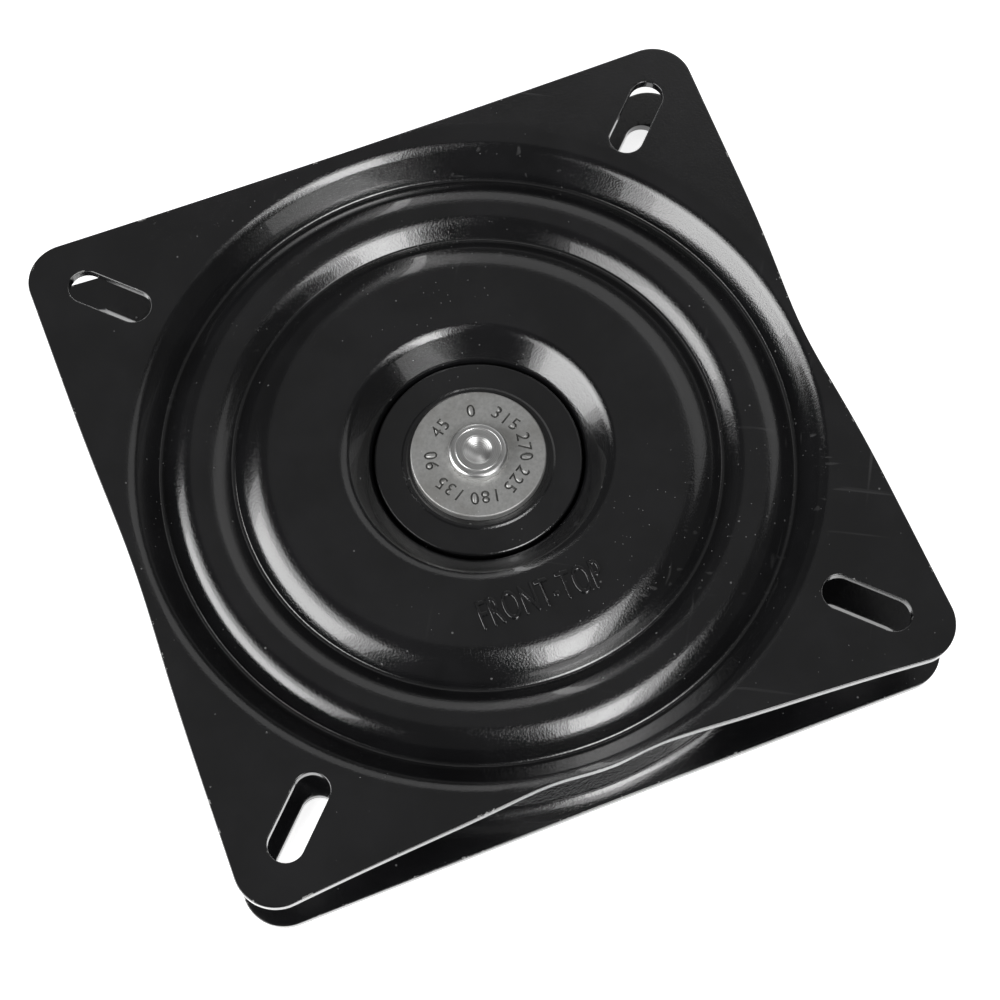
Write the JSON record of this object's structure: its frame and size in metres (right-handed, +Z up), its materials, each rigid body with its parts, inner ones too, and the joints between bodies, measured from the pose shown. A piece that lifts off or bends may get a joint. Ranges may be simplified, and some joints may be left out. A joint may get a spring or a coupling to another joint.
{
  "type": "swivel seat base",
  "caption": "Square two-plate swivel for a seat: pressed steel plates that turn on rings of balls about a riveted centre, with slotted corners for bolts.",
  "frame": {"origin": "on the pivot axis, in the plane that the lower plate stands on", "axes": "+Z up along the pivot axis, -Y towards the front side of the plates, +X to the right"},
  "size_m": [0.1778, 0.1778, 0.0238],
  "materials": {
    "black_enamel": "gloss black enamel with fine orange peel",
    "cap_enamel": "gloss black enamel",
    "washer_steel": "dull zinc-grey steel with shallow stamped marks",
    "rivet_steel": "bright spun steel",
    "sleeve_steel": "plain turned steel",
    "ball_steel": "polished bearing steel",
    "retainer_plastic": "natural nylon"
  },
  "bodies": {
    "base": {"bottom_plate": "black_enamel", "spacer_sleeve": "sleeve_steel", "cap_disc": "cap_enamel", "washer": "washer_steel", "pivot_rivet": "rivet_steel"},
    "turntable": {"top_plate": "black_enamel"},
    "main_ball_set": {"main_retainer": "retainer_plastic", "main_ball_1": "ball_steel", "main_ball_2": "ball_steel", "main_ball_3": "ball_steel", "main_ball_4": "ball_steel", "main_ball_5": "ball_steel", "main_ball_6": "ball_steel", "main_ball_7": "ball_steel", "main_ball_8": "ball_steel", "main_ball_9": "ball_steel", "main_ball_10": "ball_steel", "main_ball_11": "ball_steel", "main_ball_12": "ball_steel", "main_ball_13": "ball_steel", "main_ball_14": "ball_steel", "main_ball_15": "ball_steel", "main_ball_16": "ball_steel", "main_ball_17": "ball_steel", "main_ball_18": "ball_steel", "main_ball_19": "ball_steel", "main_ball_20": "ball_steel"},
    "inner_ball_set": {"inner_retainer": "retainer_plastic", "inner_ball_1": "ball_steel", "inner_ball_2": "ball_steel", "inner_ball_3": "ball_steel", "inner_ball_4": "ball_steel", "inner_ball_5": "ball_steel", "inner_ball_6": "ball_steel", "inner_ball_7": "ball_steel", "inner_ball_8": "ball_steel", "inner_ball_9": "ball_steel", "inner_ball_10": "ball_steel", "inner_ball_11": "ball_steel", "inner_ball_12": "ball_steel"}
  },
  "joints": [
    {"name": "swivel", "type": "hinge", "parent": "base", "child": "turntable", "pos_m": [0, 0, 0], "axis": [0, 0, 1], "continuous": true},
    {"name": "main_ball_orbit", "type": "hinge", "parent": "base", "child": "main_ball_set", "pos_m": [0, 0, 0], "axis": [0, 0, 1], "continuous": true},
    {"name": "inner_ball_orbit", "type": "hinge", "parent": "base", "child": "inner_ball_set", "pos_m": [0, 0, 0], "axis": [0, 0, 1], "continuous": true}
  ],
  "couplings": [
    {"joint": "main_ball_orbit", "follows": "swivel", "ratio": 0.5},
    {"joint": "inner_ball_orbit", "follows": "swivel", "ratio": 0.5}
  ]
}
